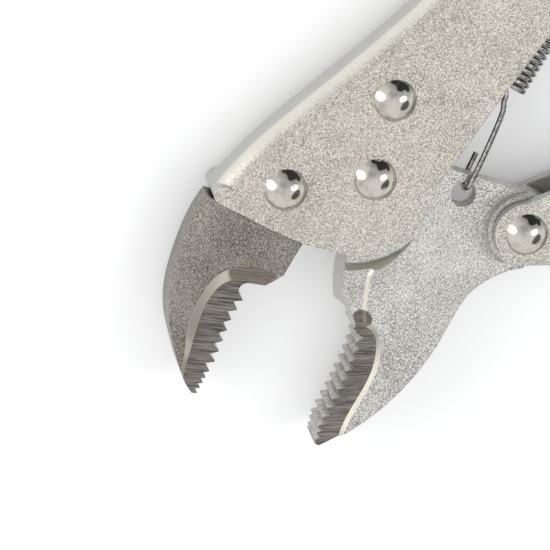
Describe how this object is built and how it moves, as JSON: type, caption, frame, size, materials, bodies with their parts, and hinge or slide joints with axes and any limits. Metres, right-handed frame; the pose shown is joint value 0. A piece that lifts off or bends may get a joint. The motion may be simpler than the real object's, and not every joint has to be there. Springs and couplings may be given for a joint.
{
  "type": "locking pliers",
  "caption": "Locking pliers with curved toothed jaws, sheet steel handles, toggle link, adjusting screw, release lever and jaw spring, lying open on one side.",
  "frame": {"origin": "centre of the bounding box in X and Y, on the floor the tool lies on", "axes": "+X towards the handle ends along the upper handle, +Y from the lower handle's side towards the spine of the upper handle, +Z out of the side that faces up"},
  "size_m": [0.25, 0.1572, 0.0183],
  "materials": {
    "nickel": "sand-blasted nickel plate, satin with fine grain",
    "polished": "polished nickel rivet heads",
    "spring_steel": "drawn spring wire"
  },
  "bodies": {
    "upper_handle_body": {"upper_handle": "nickel", "fixed_jaw": "nickel", "fixed_jaw_rivets": "polished", "jaw_pivot_rivet": "polished"},
    "movable_jaw_body": {"movable_jaw": "nickel"},
    "lower_handle_body": {"lower_handle": "nickel", "handle_pivot_rivet": "polished", "link_pivot_rivet": "polished", "release_lever_pin": "polished"},
    "toggle_link_body": {"toggle_link": "nickel"},
    "release_lever_body": {"release_lever": "nickel"},
    "screw_body": {"adjusting_screw": "nickel"},
    "knob_body": {"screw_knob": "nickel"},
    "spring_body": {"jaw_spring": "spring_steel"}
  },
  "joints": [
    {"name": "jaw_hinge", "type": "hinge", "parent": "upper_handle_body", "child": "movable_jaw_body", "pos_m": [-0.064, 0.05344, 0.00915], "axis": [0, 0, 1], "range_deg": [-27.41, 0]},
    {"name": "handle_hinge", "type": "hinge", "parent": "movable_jaw_body", "child": "lower_handle_body", "pos_m": [-0.0525, 0.01944, 0.00915], "axis": [0, 0, 1], "range_deg": [-0.5, 69.92]},
    {"name": "link_hinge", "type": "hinge", "parent": "lower_handle_body", "child": "toggle_link_body", "pos_m": [-0.01503, 0.00539, 0.00915], "axis": [0, 0, 1], "range_deg": [-68.44, 0.5]},
    {"name": "release_hinge", "type": "hinge", "parent": "lower_handle_body", "child": "release_lever_body", "pos_m": [0.01563, -0.03139, 0.00915], "axis": [0, 0, 1], "range_deg": [-6, 0]},
    {"name": "screw_slide", "type": "slide", "parent": "upper_handle_body", "child": "screw_body", "axis": [1, 0, 0], "range_m": [0, 0.012]},
    {"name": "knob_turn", "type": "hinge", "parent": "screw_body", "child": "knob_body", "pos_m": [0.116, 0.05664, 0.00915], "axis": [1, 0, 0], "range_deg": [-3457, 1]},
    {"name": "spring_stretch", "type": "slide", "parent": "upper_handle_body", "child": "spring_body", "axis": [-0.9673, -0.2536, 0], "range_m": [-0.0001, 0.01006], "deforming": ["jaw_spring"]}
  ],
  "couplings": [
    {"joint": "handle_hinge", "follows": "jaw_hinge", "ratio": -2.5476},
    {"joint": "link_hinge", "follows": "jaw_hinge", "ratio": 2.4938},
    {"joint": "spring_stretch", "follows": "jaw_hinge", "m_per_rad": -0.02083},
    {"joint": "knob_turn", "follows": "screw_slide", "rad_per_m": -5026.5}
  ]
}
